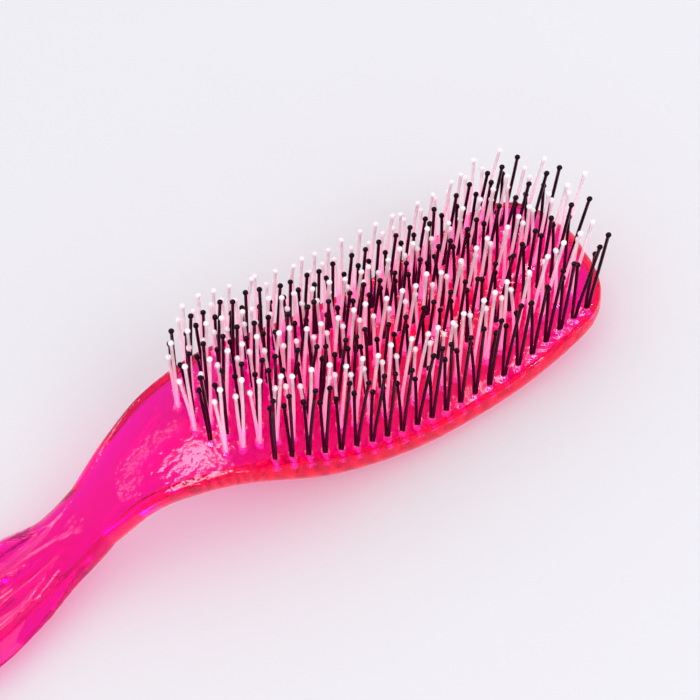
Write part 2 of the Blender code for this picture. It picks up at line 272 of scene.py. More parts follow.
def spread_turns(place):
    """Angles of the points: even along the edge on the head, even by angle on the grip."""
    fine = np.linspace(0, 2 * pi, 10 * ring_points + 1)
    loop = section(place, fine)
    along = np.concatenate([[0], np.cumsum(np.linalg.norm(np.diff(loop, axis=0), axis=1))])
    shares = np.arange(ring_points) / ring_points
    even = np.interp(shares * along[-1], along, fine)
    roundness = roundness_at(place, top_turns_oval)
    return even * (1 - roundness) + shares * 2 * pi * roundness


print("rim point spread on the head, radians:", round(float(spread_turns(0.0)[1]), 3))

# %% [markdown]
# ## Where the rings go
# The body could be lofted from curves or sculpted. A tube that is cut across into rings is easier
# to control: each ring then moves onto its cross section. Rings at even steps would leave both
# ends faceted, so there they stand closer and closer together.

# %% Rings along the body
ring_counts = {"tip": 40, "head": 84, "shoulder": 44, "neck": 16, "grip": 84, "butt": 30}
tip_length, butt_length = tip_outline[0], butt_end[0]
tip_start, butt_start = tip_place - tip_length, butt_place + butt_length


def crowding(count):
    """Shares of an end's length, closer together towards where it stops."""
    return [sin(pi / 2 * i / count) for i in range(count)]


places = [tip_start + tip_length * share for share in reversed(crowding(ring_counts["tip"])[1:])]
for start, end, zone in ((tip_start, -hollow_back, "head"),
                         (-hollow_back, shoulder_place, "shoulder"),
                         (shoulder_place, flute_place, "neck"), (flute_place, butt_start, "grip")):
    places += [start + (end - start) * i / ring_counts[zone] for i in range(ring_counts[zone])]
places += [butt_start - butt_length * share for share in crowding(ring_counts["butt"])]
print("rings:", len(places), "points in each:", ring_points)

# %% [markdown]
# ## A tube cut into rings
# A cylinder primitive stands upright here, with a fan of triangles on both ends. Its long edges
# are subdivided twice, because one call makes at most 100 cuts. Loop cut would need a window.

# %% A tube primitive, cut into rings
tube_radius, tube_length = 10 * MM, 1.0
first_parts = 17
second_parts = -(-(len(places) - 1) // first_parts)
levels = first_parts * second_parts


def select_where(piece, kind, test):
    """In edit mode, select only the edges or the faces of a piece that pass a test."""
    bpy.ops.mesh.select_all(action="DESELECT")
    edit = bmesh.from_edit_mesh(piece.data)
    for part in getattr(edit, kind):
        part.select = test(part)
    bmesh.update_edit_mesh(piece.data)


def edge_rise(edge):
    """How far an edge climbs."""
    return abs(edge.verts[0].co.z - edge.verts[1].co.z)


bpy.ops.mesh.primitive_cylinder_add(vertices=ring_points, radius=tube_radius, depth=tube_length,
                                    end_fill_type="TRIFAN", location=(0, 0, 0))
body = bpy.context.object
body.name = "clear_body"
bpy.ops.object.mode_set(mode="EDIT")
for least_rise, parts in ((tube_length / 2, first_parts), (tube_length / 100, second_parts)):
    select_where(body, "edges", lambda edge: edge_rise(edge) > least_rise)
    bpy.ops.mesh.subdivide(number_cuts=parts - 1)
bpy.ops.object.mode_set(mode="OBJECT")
print("the tube has", levels + 1, "rings for", len(places), "places")

# %% [markdown]
# ## From tube to brush
# Every vertex knows its ring by its height in the tube, and its place in the ring by its angle.
# So it can be sent straight to its point on the cross section. The middle of each fan becomes the
# outermost point of the tip or of the butt.

# %% Move each ring onto its cross section
steps = np.interp(np.linspace(0, 1, levels + 1), np.linspace(0, 1, len(places)), places)
rings = [section(place, spread_turns(place)) for place in steps]
coords = np.zeros(len(body.data.vertices) * 3)
body.data.vertices.foreach_get("co", coords)
coords = coords.reshape(-1, 3)
level = np.rint((tube_length / 2 - coords[:, 2]) / tube_length * levels).astype(int)
around = np.arctan2(coords[:, 1], coords[:, 0]) / (2 * pi) % 1
point = np.rint(around * ring_points).astype(int) % ring_points
on_axis = np.hypot(coords[:, 0], coords[:, 1]) < tube_radius / 10
shaped = np.array([rings[n][i] for n, i in zip(level, point)])
for end, depth, end_level in ((tip_place, rim_radius, 0),
                              (butt_place, body_size(butt_place)[2], levels)):
    x, z, slope = top_line(end)
    shaped[on_axis & (level == end_level)] = (x + depth * sin(slope), 0, z - depth * cos(slope))
laid = on_table(shaped)
body.data.vertices.foreach_set("co", laid.ravel())
body.data.update()
print("body box, mm:", np.round(laid.min(0) / MM, 1), np.round(laid.max(0) / MM, 1))

# %% [markdown]
# ## Where the brush rests
# A round back would touch the table in one point, so the CAD has a small flat on the head and one
# on the grip. The lowest skin is sliced off level with the table and closed again, after doubled
# points are merged and faces turned outwards.

# %% Rest flats, and faces outwards
bpy.ops.object.mode_set(mode="EDIT")
bpy.ops.mesh.select_all(action="SELECT")
bpy.ops.mesh.remove_doubles(threshold=0.002 * MM)
bpy.ops.mesh.select_all(action="SELECT")
bpy.ops.mesh.normals_make_consistent(inside=False)
bpy.ops.mesh.select_all(action="SELECT")
bpy.ops.mesh.bisect(plane_co=(0, 0, 0), plane_no=(0, 0, 1), use_fill=True, clear_inner=True,
                    threshold=1e-6)
bpy.ops.object.mode_set(mode="OBJECT")
print("body faces:", len(body.data.polygons))

# %% [markdown]
# ## Where the holes are
# The pins stand in eight lengthwise rows that follow the outline of the head, 4 mm apart in a row.
# Each row has its own count and its own shift. Neighbouring rows are staggered, as on the real
# brush, so that no two pins touch.

# %% Rows of holes
hole_pitch, field_centre, pin_margin = 4 * MM, 6.6 * MM, 3.3 * MM
field_length = 25 * hole_pitch
row_hole_counts = (22, 24, 25, 26, 25, 25, 24, 22)
row_shifts = (0.94, -0.39, -0.31, -0.29, -0.36, -0.86, -0.91, -0.46)
field_widths = ((0, 0.695), (0.08, 0.79), (0.16, 0.865), (0.31, 0.955), (0.52, 1), (0.72, 1),
                (0.94, 0.925), (1, 0.89))
search_end, halvings = hollow_front + tip_arc * 0.6, 40


def face_height(x, y):
    """Height of the face at a given x and y, found by halving."""
    low, high = neck_place, search_end
    for _ in range(halvings):
        place = (low + high) / 2
        line_x, line_z, slope = top_line(place)
        crown = float(face_crown(place, y))
        if line_x - crown * sin(slope) < x:
            low = place
        else:
            high = place
    return line_z + crown * cos(slope)


def row_half_width(x):
    """How far the outermost row stands from the middle of the head."""
    way = (x - field_centre) / field_length + 1 / 2
    return (head_width / 2 - pin_margin) * follow(field_widths, way)


rows, last_row = [], len(row_hole_counts) - 1
for number, (count, shift) in enumerate(zip(row_hole_counts, row_shifts)):
    share = (2 * number - last_row) / last_row
    start = field_centre + hole_pitch * (shift - count / 2)
    xs = [start + hole_pitch * (i + 1 / 2) for i in range(count)]
    ys = [share * row_half_width(x) for x in xs]
    rows.append([Vector((x, y, face_height(x, y))) for x, y in zip(xs, ys)])
spots = [spot for row in rows for spot in row]
print("holes:", len(spots))

# %% [markdown]
# ## Drilled seats
# Each pin sits in a blind hole. One round cutter is modelled, copied to each place, joined into
# one mesh, and taken out of the body with a Boolean. The bottom of a drilled hole is a shallow
# cone, and light caught on these walls is what shows as pale streaks under the front row.

# %% Model the cutter and copy it
hole_radius, hole_depth, hole_sides = 1.02 * MM, 3.2 * MM, 14
cutter_top, cone_size = 2 * MM, 0.35 * MM


def looks_down(face):
    """True for a face that looks mostly down."""
    return face.normal.z < -0.5


def own_copy(pattern):
    """A copy of a piece with its own mesh."""
    copy = pattern.copy()
    copy.data = pattern.data.copy()
    bpy.context.scene.collection.objects.link(copy)
    return copy


def join(pieces):
    """Join pieces into one."""
    bpy.ops.object.select_all(action="DESELECT")
    for piece in pieces:
        piece.select_set(True)
    bpy.context.view_layer.objects.active = pieces[0]
    bpy.ops.object.join()
    return bpy.context.object


bpy.ops.object.select_all(action="DESELECT")
bpy.ops.mesh.primitive_cylinder_add(vertices=hole_sides, radius=hole_radius,
                                    depth=hole_depth + cutter_top,
                                    location=(0, 0, (cutter_top - hole_depth) / 2))
cutter = bpy.context.object
cutter.name = "hole_cutter"
bpy.ops.object.transform_apply(location=True, rotation=True, scale=True)
bpy.ops.object.mode_set(mode="EDIT")
select_where(cutter, "faces", looks_down)
bpy.ops.mesh.inset(thickness=cone_size)
bpy.ops.transform.translate(value=(0, 0, -cone_size))
bpy.ops.object.mode_set(mode="OBJECT")
copies = []
for spot in spots:
    copy = own_copy(cutter)
    copy.data.transform(rest @ Matrix.Translation(spot))
    copies.append(copy)
bpy.data.objects.remove(cutter)
cutters = join(copies)
print("cutters:", len(copies), "faces in all:", len(cutters.data.polygons))

# %% [markdown]
# ## Cutting the holes
# A Boolean with the exact solver takes all cutters out at once, and it keeps the body closed.
# Only faces that meet at a low angle are shaded smooth, so the mouth of a hole stays crisp.

# %% Cut the holes
cut = body.modifiers.new("holes", "BOOLEAN")
cut.operation, cut.solver, cut.object = "DIFFERENCE", "EXACT", cutters
bpy.ops.object.select_all(action="DESELECT")
body.select_set(True)
bpy.context.view_layer.objects.active = body
bpy.ops.object.modifier_apply(modifier=cut.name)
bpy.data.objects.remove(cutters)
bpy.ops.object.shade_smooth_by_angle(angle=radians(28))
print("body faces after the holes:", len(body.data.polygons))

# %% [markdown]
# ## Marks for the finish
# A drill leaves its walls matt, and a polished mould leaves the rest glossy. The body could be
# split into several materials, but the dye has to fill one closed solid. So values on its faces
# and points say what is where, and one material reads them. "drilled" is 1 in the holes. "wavy" is
# 1 on top of the head, where the ripple shows, and "hull" is 1 on its side walls and its back,
# which are a little duller. Both fade out towards the neck.

# %% Mark the drilled walls, the top and the hull
head_mark_start, head_mark_length = -50 * MM, 14 * MM
level_from, level_range = 0.75, 0.2
hole_share, below_hole = 0.98, 1 * MM


def set_values(piece, name, domain, values):
    """Store one number for each point or face of a piece."""
    piece.data.attributes.new(name, "FLOAT", domain).data.foreach_set("value", values)


middles = np.zeros(len(body.data.polygons) * 3)
body.data.polygons.foreach_get("center", middles)
middles = (middles.reshape(-1, 3) - np.array(rest.translation)) @ np.array(rest.to_3x3())
drilled = np.zeros(len(middles))
for spot in spots:
    away = np.hypot(middles[:, 0] - spot.x, middles[:, 1] - spot.y)
    deep_enough = middles[:, 2] > spot.z - hole_depth - below_hole
    drilled[(away < hole_radius * hole_share) & deep_enough] = 1
on_head = [smooth_step((vert.co.x - head_mark_start) / head_mark_length)
           for vert in body.data.vertices]
facing_up = [smooth_step((vert.normal.z - level_from) / level_range)
             for vert in body.data.vertices]
set_values(body, "drilled", "FACE", drilled)
set_values(body, "wavy", "POINT", [head * up for head, up in zip(on_head, facing_up)])
set_values(body, "hull", "POINT", [head * (1 - up) for head, up in zip(on_head, facing_up)])
print("faces of drilled walls:", int(drilled.sum()))

# %% [markdown]
# ## One pin
# A pin is a nylon filament, folded in the middle and pushed into its hole by the fold. Its cut
# ends are melted into balls, which is what makes the brush kind to skin. One straight leg of each
# length is modelled upright: a cylinder is cut across so that it can bend, and its end is extruded
# and scaled into a ball. A separate sphere would leave a seam where it meets the shaft.

# %% Model one leg
leg_radius, ball_radius, leg_sides = 0.41 * MM, 0.72 * MM, 8
leg_gap, fold_height = 0.96 * MM, -2 * MM
leg_heights = {"long_leg": 25.4 * MM, "short_leg": 15.7 * MM}
shaft_cuts, ball_angles, ball_middle = 3, (-35, 0, 35, 62), 0.85


def make_leg(name):
    """An upright leg from inside the hole to its ball, with its foot's place at the origin."""
    bottom, top = fold_height, leg_heights[name] - 2 * ball_middle * ball_radius
    bpy.ops.object.select_all(action="DESELECT")
    bpy.ops.mesh.primitive_cylinder_add(vertices=leg_sides, radius=leg_radius, depth=top - bottom,
                                        end_fill_type="NGON", location=(0, 0, (top + bottom) / 2))
    leg = bpy.context.object
    leg.name = name
    bpy.ops.object.transform_apply(location=True, rotation=True, scale=True)
    bpy.ops.object.mode_set(mode="EDIT")
    select_where(leg, "edges", lambda edge: edge_rise(edge) > top / 2)
    bpy.ops.mesh.subdivide(number_cuts=shaft_cuts)
    select_where(leg, "faces", lambda face: face.normal.z > 0.5)
    rise, width = 0.0, leg_radius
    for angle in ball_angles:
        new_width = ball_radius * cos(radians(angle))
        new_rise = ball_radius * (ball_middle + sin(radians(angle)))
        bpy.ops.mesh.extrude_region_move(TRANSFORM_OT_translate={"value": (0, 0, new_rise - rise)})
        bpy.ops.transform.resize(value=(new_width / width, new_width / width, 1))
        rise, width = new_rise, new_width
    select_where(leg, "faces", lambda face: looks_down(face) and face.calc_center_median().z < 0)
    bpy.ops.mesh.delete(type="ONLY_FACE")
    bpy.ops.object.mode_set(mode="OBJECT")
    tallest = max(vert.co.z for vert in leg.data.vertices)
    print(name, "faces:", len(leg.data.polygons), "height, mm:", round(tallest / MM, 2))
    return leg


long_leg, short_leg = make_leg("long_leg"), make_leg("short_leg")

# %% [markdown]
# ## The fold of a pin
# The two legs meet in a bend inside the hole, which shows dimly through the clear plastic. It
# could be a curve with a round bevel. A circle spun half a turn gives rings that fit the open ends
# of both legs. This angle turns it upwards, so the bend stands between the ends of the legs, and
# its skin faces inwards. With +pi it would hang below them, as on a real pin.

# %% Model the fold that joins two legs
fold_steps = 6
bpy.ops.object.select_all(action="DESELECT")
bpy.ops.mesh.primitive_circle_add(vertices=leg_sides, radius=leg_radius,
                                  location=(0, leg_gap / 2, fold_height))
fold = bpy.context.object
fold.name = "fold"
bpy.ops.object.transform_apply(location=True, rotation=True, scale=True)
bpy.ops.object.mode_set(mode="EDIT")
bpy.ops.mesh.select_all(action="SELECT")
bpy.ops.mesh.spin(steps=fold_steps, angle=-pi, center=(0, 0, fold_height), axis=(1, 0, 0))
bpy.ops.object.mode_set(mode="OBJECT")
lowest = min(vert.co.z for vert in fold.data.vertices)
print("fold faces:", len(fold.data.polygons), "lowest, mm:", round(lowest / MM, 2))

# %% [markdown]
# ## How every leg stands
# No two pins on a real brush stand alike: each is bent a little by the machine and by use. So a
# seeded chance gives every leg its own lean and its own bow. The long leg leans to the near side
# and the short one to the far side, and pins near both ends of a row fan outwards. A leg that
# would touch one already placed is drawn again.

# %% Leans of every leg
chance = random.Random(5)
# a leg's pattern, its side of the pin and its lean across the brush
legs_of_a_pin = (("long_leg", -1, -0.105), ("short_leg", 1, 0.08))
fan_lean, fan_power = 0.09, 7
lean_spread_x, lean_spread_y = 0.024, 0.016
bow_spread_x, bow_spread_y = 0.5, 0.35  # in mm
shortest, longest = -0.015, 0.01  # shares of the height
near_by, end_room, free_above, looks = 12 * MM, 1 * MM, 3 * MM, 6
shaft_room, ball_room = 2.1 * leg_radius, 2.8 * leg_radius
most_tries, legs_to_test = 30, 180


class Leg:
    """Where one leg stands, how it leans and bows, and its own shade."""

    def __init__(self, foot, height, lean, bow, shade):
        self.foot, self.height, self.lean, self.bow, self.shade = foot, height, lean, bow, shade

    def axis(self, z):
        """Middle of the leg at a height above its foot."""
        share = z / self.height
        return self.foot + Vector((self.lean.x * z + self.bow.x * share * share,
                                   self.lean.y * z + self.bow.y * share * share, z))


def clear_of(leg, others):
    """True where a leg touches none of the others above the face."""
    for other in others:
        if (other.foot - leg.foot).length > near_by:
            continue
        lift = other.foot.z - leg.foot.z
        for i in range(looks + 1):
            z = leg.height * i / looks
            if lift - end_room < z < lift + other.height + end_room:
                gap = (leg.axis(z) - other.axis(max(z - lift, 0))).xy.length
                if (gap < shaft_room and z > free_above) or (i == looks and gap < ball_room):
                    return False
    return True


def draw_leg(foot, height, lean_y, fan):
    """A leg with its own small chance in lean, bow, height and shade."""
    lean = Vector((chance.gauss(0, lean_spread_x) + fan,
                   lean_y + chance.gauss(0, lean_spread_y), 0))
    bow = Vector((chance.gauss(0, bow_spread_x), chance.gauss(0, bow_spread_y), 0)) * MM
    return Leg(foot, height * (1 + chance.uniform(shortest, longest)), lean, bow, chance.random())


placed, row_legs = [], []
for row in rows:
    legs = []
    for i, spot in enumerate(row):
        fan = fan_lean * ((2 * i + 1 - len(row)) / len(row)) ** fan_power
        for name, side, lean_y in legs_of_a_pin:
            foot = spot + Vector((0, side * leg_gap / 2, 0))
            for attempt in range(most_tries):
                leg = draw_leg(foot, leg_heights[name], lean_y, fan)
                if clear_of(leg, placed[-legs_to_test:]):
                    break
            placed.append(leg)
            legs.append(leg)
    row_legs.append(legs)
print("legs:", len(placed))

# %% [markdown]
# ## The rows of pins
# Each row becomes one piece, which stands for the three slices of that row in the CAD. Every leg
# is a copy of its pattern that is leaned and bowed point by point. Two values go with it for the
# finish: "pin_shade" is the leg's own shade, and "pin_height" runs from 0 at the face to 1 at the
# top of the ball.

# %% Copy the legs into eight row pieces


def place_leg(pattern, leg):
    """A copy of the pattern, leaned and bowed, laid on the table."""
    copy, full_height = own_copy(pattern), leg_heights[pattern.name]
    for vert in copy.data.vertices:
        z = vert.co.z * (leg.height / full_height if vert.co.z > 0 else 1)
        axis = leg.axis(max(z, 0.0))
        vert.co = rest @ Vector((axis.x + vert.co.x, axis.y + vert.co.y, leg.foot.z + z))
    heights = [vert.co.z / full_height for vert in pattern.data.vertices]
    set_values(copy, "pin_shade", "POINT", [leg.shade] * len(heights))
    set_values(copy, "pin_height", "POINT", heights)
    return copy


def place_fold(spot, leg):
    """A copy of the fold inside a hole, in the shade of its leg."""
    copy = own_copy(fold)
    copy.data.transform(rest @ Matrix.Translation(spot))
    for name, value in (("pin_shade", leg.shade), ("pin_height", 0.0)):
        set_values(copy, name, "POINT", [value] * len(copy.data.vertices))
    return copy


row_pieces = []
for number, legs in enumerate(row_legs):
    copies = [place_leg(long_leg if i % 2 == 0 else short_leg, leg) for i, leg in enumerate(legs)]
    copies += [place_fold(spot, legs[2 * i]) for i, spot in enumerate(rows[number])]
    piece = join(copies)
    piece.name = f"pins_row_{number + 1}"
    bpy.ops.object.mode_set(mode="EDIT")
    bpy.ops.mesh.select_all(action="SELECT")
    bpy.ops.mesh.remove_doubles(threshold=0.01 * MM)
    bpy.ops.mesh.normals_make_consistent(inside=False)
    bpy.ops.object.mode_set(mode="OBJECT")
    bpy.ops.object.shade_smooth_by_angle(angle=radians(75))
    row_pieces.append(piece)
for pattern in (long_leg, short_leg, fold):
    bpy.data.objects.remove(pattern)
print("row pieces:", len(row_pieces), "faces each:", [len(p.data.polygons) for p in row_pieces])

# %% [markdown]
# ## Helpers for materials
# A finish is a tree of nodes. These helpers make and set a node, wire sockets by name, and make a
# Map Range, which stretches a value over a zone, and a Mix of two colours. The colour sockets of a
# Mix node are known by their numbers.

# %% Helpers for node trees
COLOUR_A, COLOUR_B, COLOUR_OUT = 6, 7, 2


def set_inputs(node, **values):
    """Set a node's sockets by name, with _ for each space."""
    for key, value in values.items():
        node.inputs[key.replace("_", " ")].default_value = value
    return node


def add(tree, kind, **values):
    """A node with its properties and sockets set by name."""
    node = tree.nodes.new(kind)
    for key, value in values.items():
        if hasattr(node, key):
            setattr(node, key, value)
        else:
            set_inputs(node, **{key: value})
    return node


def wire(tree, *links):
    """Link sockets; each link is a node and its output, then a node and its input."""
    for source, out_socket, target, in_socket in links:
        tree.links.new(source.outputs[out_socket], target.inputs[in_socket])


def map_range(tree, from_min, from_max, to_min=0.0, to_max=1.0):
    """A Map Range node with its four ends set."""
    return add(tree, "ShaderNodeMapRange", From_Min=from_min, From_Max=from_max,
               To_Min=to_min, To_Max=to_max)


def colour_mix(tree, second, first=None):
    """A Mix of two colours; the first is left out where another node feeds it."""
    node = add(tree, "ShaderNodeMix", data_type="RGBA")
    node.inputs[COLOUR_B].default_value = (*second, 1)
    if first is not None:
        node.inputs[COLOUR_A].default_value = (*first, 1)
    return node


def new_material(name):
    """A new material, its node tree and its Principled shader."""
    material = bpy.data.materials.new(name)
    material.use_nodes = True
    return material, material.node_tree, material.node_tree.nodes["Principled BSDF"]


print("colour sockets of a Mix node:", COLOUR_A, COLOUR_B, COLOUR_OUT)

# %% [markdown]
# ## Surface groups
# Two effects are shared by several finishes, so each is a node group with its own inputs.
# The ripple group is the faint orange-peel of injection moulding, a fine and a broad noise mixed.
# The haze group is the fine dust and rubbing that makes gloss uneven; its mask also places the
# painted glints in the holes.

# %% Node groups


def new_group(name, inputs, outputs):
    """An empty node group with its sockets made; an input has a default, or None for a vector."""
    group = bpy.data.node_groups.new(name, "ShaderNodeTree")
    for socket, value in inputs:
        kind = "NodeSocketVector" if value is None else "NodeSocketFloat"
        made = group.interface.new_socket(socket, in_out="INPUT", socket_type=kind)
        if value is not None:
            made.default_value = value
    for socket in outputs:
        group.interface.new_socket(socket, in_out="OUTPUT", socket_type="NodeSocketFloat")
    return group, group.nodes.new("NodeGroupInput"), group.nodes.new("NodeGroupOutput")


ripple_inputs = (("Vector", None), ("Fine Scale", 900.0), ("Broad Scale", 90.0),
                 ("Fine Share", 0.4))
ripple, given, result = new_group("moulded_ripple", ripple_inputs, ("Height",))
fine = add(ripple, "ShaderNodeTexNoise", Detail=1.0, Roughness=0.4)
broad = add(ripple, "ShaderNodeTexNoise", Detail=2.0, Roughness=0.5)
blend = add(ripple, "ShaderNodeMix", data_type="FLOAT")
wire(ripple, (given, "Vector", fine, "Vector"), (given, "Vector", broad, "Vector"),
     (given, "Fine Scale", fine, "Scale"), (given, "Broad Scale", broad, "Scale"),
     (given, "Fine Share", blend, "Factor"), (broad, "Fac", blend, "A"), (fine, "Fac", blend, "B"),
     (blend, "Result", result, "Height"))

haze_inputs = (("Vector", None), ("Scale", 60.0), ("Clean Roughness", 0.03),
               ("Rubbed Roughness", 0.12))
haze_and_glints, given, result = new_group("haze_and_glint_noise", haze_inputs, ("Roughness", "Mask"))
dust_zone = (0.45, 0.75)
cloud = add(haze_and_glints, "ShaderNodeTexNoise", Detail=4.0, Roughness=0.6)
patches = map_range(haze_and_glints, *dust_zone)
rub = add(haze_and_glints, "ShaderNodeMix", data_type="FLOAT")
wire(haze_and_glints, (given, "Vector", cloud, "Vector"), (given, "Scale", cloud, "Scale"),
     (cloud, "Fac", patches, "Value"), (patches, "Result", rub, "Factor"),
     (given, "Clean Roughness", rub, "A"), (given, "Rubbed Roughness", rub, "B"),
     (rub, "Result", result, "Roughness"), (patches, "Result", result, "Mask"))
print("node groups:", [group.name for group in bpy.data.node_groups])

# %% [markdown]
# ## Clear pink plastic
# The body is dyed all through. Thin places look magenta and thick ones red, because the dye takes
# up green light at once and blue light slowly, and leaves red alone. A surface colour can't do
# that. So the surface is nearly colourless glass, and Volume Absorption inside it does the dyeing.
# A pink Specular Tint keeps what the surface mirrors from looking grey over so strong a colour.

# %% The dyed glass


def group_node(tree, group, **values):
    """A node group placed in a tree, with its own values."""
    node = tree.nodes.new("ShaderNodeGroup")
    node.node_tree = group
    return set_inputs(node, **values)


pink, tree, shader = new_material("dyed_clear_plastic")
pink.diffuse_color = (0.93, 0.01, 0.27, 1)
set_inputs(shader, Transmission_Weight=1.0, IOR=1.49, Specular_Tint=(1.0, 0.25, 0.32, 1))
output = tree.nodes["Material Output"]
where = add(tree, "ShaderNodeTexCoord")
dye = add(tree, "ShaderNodeVolumeAbsorption", Color=(0.994, 0.03, 0.875, 1), Density=700.0)
wire(tree, (dye, "Volume", output, "Volume"))
print("dye density per metre:", dye.inputs["Density"].default_value)

# %% [markdown]
# ## The skin of the body
# The skin is polished, handling dulls it in patches, the side walls are a little duller, and the
# drilled walls are matt: roughness is mixed from these by the marks made above. The ripple only
# shows on the top of the head, where it breaks up the edge of the pale patch. On the thin neck the
# same bump would make reflections jagged.

# %% Roughness, tint and ripple of the skin
hull_roughness, drilled_roughness = 0.1, 0.45
rubbed = group_node(tree, haze_and_glints, Scale=45.0, Clean_Roughness=0.012, Rubbed_Roughness=0.05)
hull_part = add(tree, "ShaderNodeAttribute", attribute_name="hull")
drilled_part = add(tree, "ShaderNodeAttribute", attribute_name="drilled")
dull_hull = add(tree, "ShaderNodeMix", data_type="FLOAT", B=hull_roughness)
matt_holes = add(tree, "ShaderNodeMix", data_type="FLOAT", B=drilled_roughness)
tint = colour_mix(tree, (0.99, 0.93, 0.96), first=(1.0, 0.97, 0.99))
wavy_part = add(tree, "ShaderNodeAttribute", attribute_name="wavy")
skin = group_node(tree, ripple, Fine_Scale=800.0, Broad_Scale=280.0, Fine_Share=0.55)
wave = add(tree, "ShaderNodeMath", operation="MULTIPLY")
bump = add(tree, "ShaderNodeBump", Strength=1.0, Distance=0.17 * MM)
wire(tree, (where, "Object", rubbed, "Vector"), (where, "Object", skin, "Vector"),
     (hull_part, "Fac", dull_hull, "Factor"), (rubbed, "Roughness", dull_hull, "A"),
     (drilled_part, "Fac", matt_holes, "Factor"), (dull_hull, "Result", matt_holes, "A"),
     (matt_holes, "Result", shader, "Roughness"),
     (rubbed, "Mask", tint, "Factor"), (tint, COLOUR_OUT, shader, "Base Color"),
     (skin, "Height", wave, 0), (wavy_part, "Fac", wave, 1), (wave, "Value", bump, "Height"),
     (bump, "Normal", shader, "Normal"))
print("roughness of hull and holes:", hull_roughness, drilled_roughness)

# %% [markdown]
# ## Light held by the plastic
# A strongly dyed plastic seems to glow, because light wanders about in it before it comes out.
# Scattering in the volume would be slow and noisy, so the surface is given a painted glow instead:
# bluish on the neck and grip, and redder on the head. In the holes the same socket paints bright
# glints, which stand for light caught on the frosted drilled walls.

# %% A little light of its own
neck_to_head, glint_scale = (-70 * MM, -36 * MM), 1300.0
set_inputs(shader, Emission_Strength=0.06)
apart = add(tree, "ShaderNodeSeparateXYZ")
towards_head = map_range(tree, *neck_to_head)
bulk = colour_mix(tree, (1.0, 0.0, 0.5), first=(0.6, 0.0, 1.6))
# painted glints: a fine noise picks spots on the drilled walls, and these give light of their own
painted_glint_noise = group_node(tree, haze_and_glints, Scale=glint_scale)
painted_glints = add(tree, "ShaderNodeMath", operation="MULTIPLY")
glow = colour_mix(tree, (8.0, 4.5, 8.0))
wire(tree, (where, "Object", apart, "Vector"), (apart, "X", towards_head, "Value"),
     (towards_head, "Result", bulk, "Factor"), (bulk, COLOUR_OUT, glow, COLOUR_A),
     (where, "Object", painted_glint_noise, "Vector"), (painted_glint_noise, "Mask", painted_glints, 0),
     (drilled_part, "Fac", painted_glints, 1), (painted_glints, "Value", glow, "Factor"),
     (glow, COLOUR_OUT, shader, "Emission Color"))
pink.cycles.emission_sampling = "NONE"
print("own light of the plastic:", shader.inputs["Emission Strength"].default_value)

# %% [markdown]
# ## Light that falls through
# The table under the brush takes a pink glow. Glass bends that light in paths that a renderer
# finds slowly, and what it finds comes on top of the light that goes straight through. So rays that
# ask how a matt surface is lit meet a plain transparent skin, and only the dye inside colours them.

# %% Let light through to the table
let_through = add(tree, "ShaderNodeBsdfTransparent", Color=(1.0, 0.95, 0.9, 1))
light_path = add(tree, "ShaderNodeLightPath")
from_table = add(tree, "ShaderNodeMath", operation="MAXIMUM")
either = add(tree, "ShaderNodeMixShader")
wire(tree, (light_path, "Is Shadow Ray", from_table, 0),
     (light_path, "Is Diffuse Ray", from_table, 1), (from_table, "Value", either, 0),
     (shader, "BSDF", either, 1), (let_through, "BSDF", either, 2),
     (either, "Shader", output, "Surface"))
print("nodes in the pink material:", len(tree.nodes))

# %% [markdown]
# ## Nylon
# The black pins are glossy, with a faint grain. Their wine tint and the faint reddish light at
# their foot are painted: they stand for pink light from the body. The white ones are natural nylon:
# milky, and partly see-through in the shaft, so over the pink body they look pink. The real ones
# also lead pink light up from the body like glass fibre. A painted glow of their own near the foot,
# which fades towards the ball, stands for that. The attribute "pin_shade" gives each leg its own
# shade, which keeps a row from looking like one stamped part.

# %% The two nylons
lit_zone, ball_zone = (0.2, 0.85), (0.86, 0.96)


def nylon(name, dark, light, roughness, rubbed_roughness, gloss, scatter, shaft_alpha, own_light,
          foot_light, tip_light):
    """A nylon finish; its shaft is see-through where shaft_alpha is below 1."""
    material, tree, shader = new_material(name)
    material.diffuse_color = (*light, 1)
    set_inputs(shader, IOR=1.53, Specular_IOR_Level=gloss, Subsurface_Weight=scatter,
               Subsurface_Radius=(1.0, 0.9, 0.95), Subsurface_Scale=2 * MM,
               Emission_Strength=own_light)
    where = add(tree, "ShaderNodeTexCoord")
    own = add(tree, "ShaderNodeAttribute", attribute_name="pin_shade")
    high = add(tree, "ShaderNodeAttribute", attribute_name="pin_height")
    grain = group_node(tree, ripple, Fine_Scale=1500.0, Broad_Scale=300.0, Fine_Share=0.3)
    worn = group_node(tree, haze_and_glints, Scale=350.0, Clean_Roughness=roughness,
                      Rubbed_Roughness=rubbed_roughness)
    bump = add(tree, "ShaderNodeBump", Strength=0.15, Distance=0.02 * MM)
    colour = colour_mix(tree, light, first=dark)
    upper = map_range(tree, *lit_zone)
    lit = colour_mix(tree, tip_light, first=foot_light)
    wire(tree, (where, "Object", grain, "Vector"), (where, "Object", worn, "Vector"),
         (own, "Fac", colour, "Factor"), (colour, COLOUR_OUT, shader, "Base Color"),
         (high, "Fac", upper, "Value"), (upper, "Result", lit, "Factor"),
         (lit, COLOUR_OUT, shader, "Emission Color"), (worn, "Roughness", shader, "Roughness"),
         (grain, "Height", bump, "Height"), (bump, "Normal", shader, "Normal"))
    if shaft_alpha < 1:
        solid = map_range(tree, *ball_zone, shaft_alpha, 1.0)
        wire(tree, (high, "Fac", solid, "Value"), (solid, "Result", shader, "Alpha"))
    return material


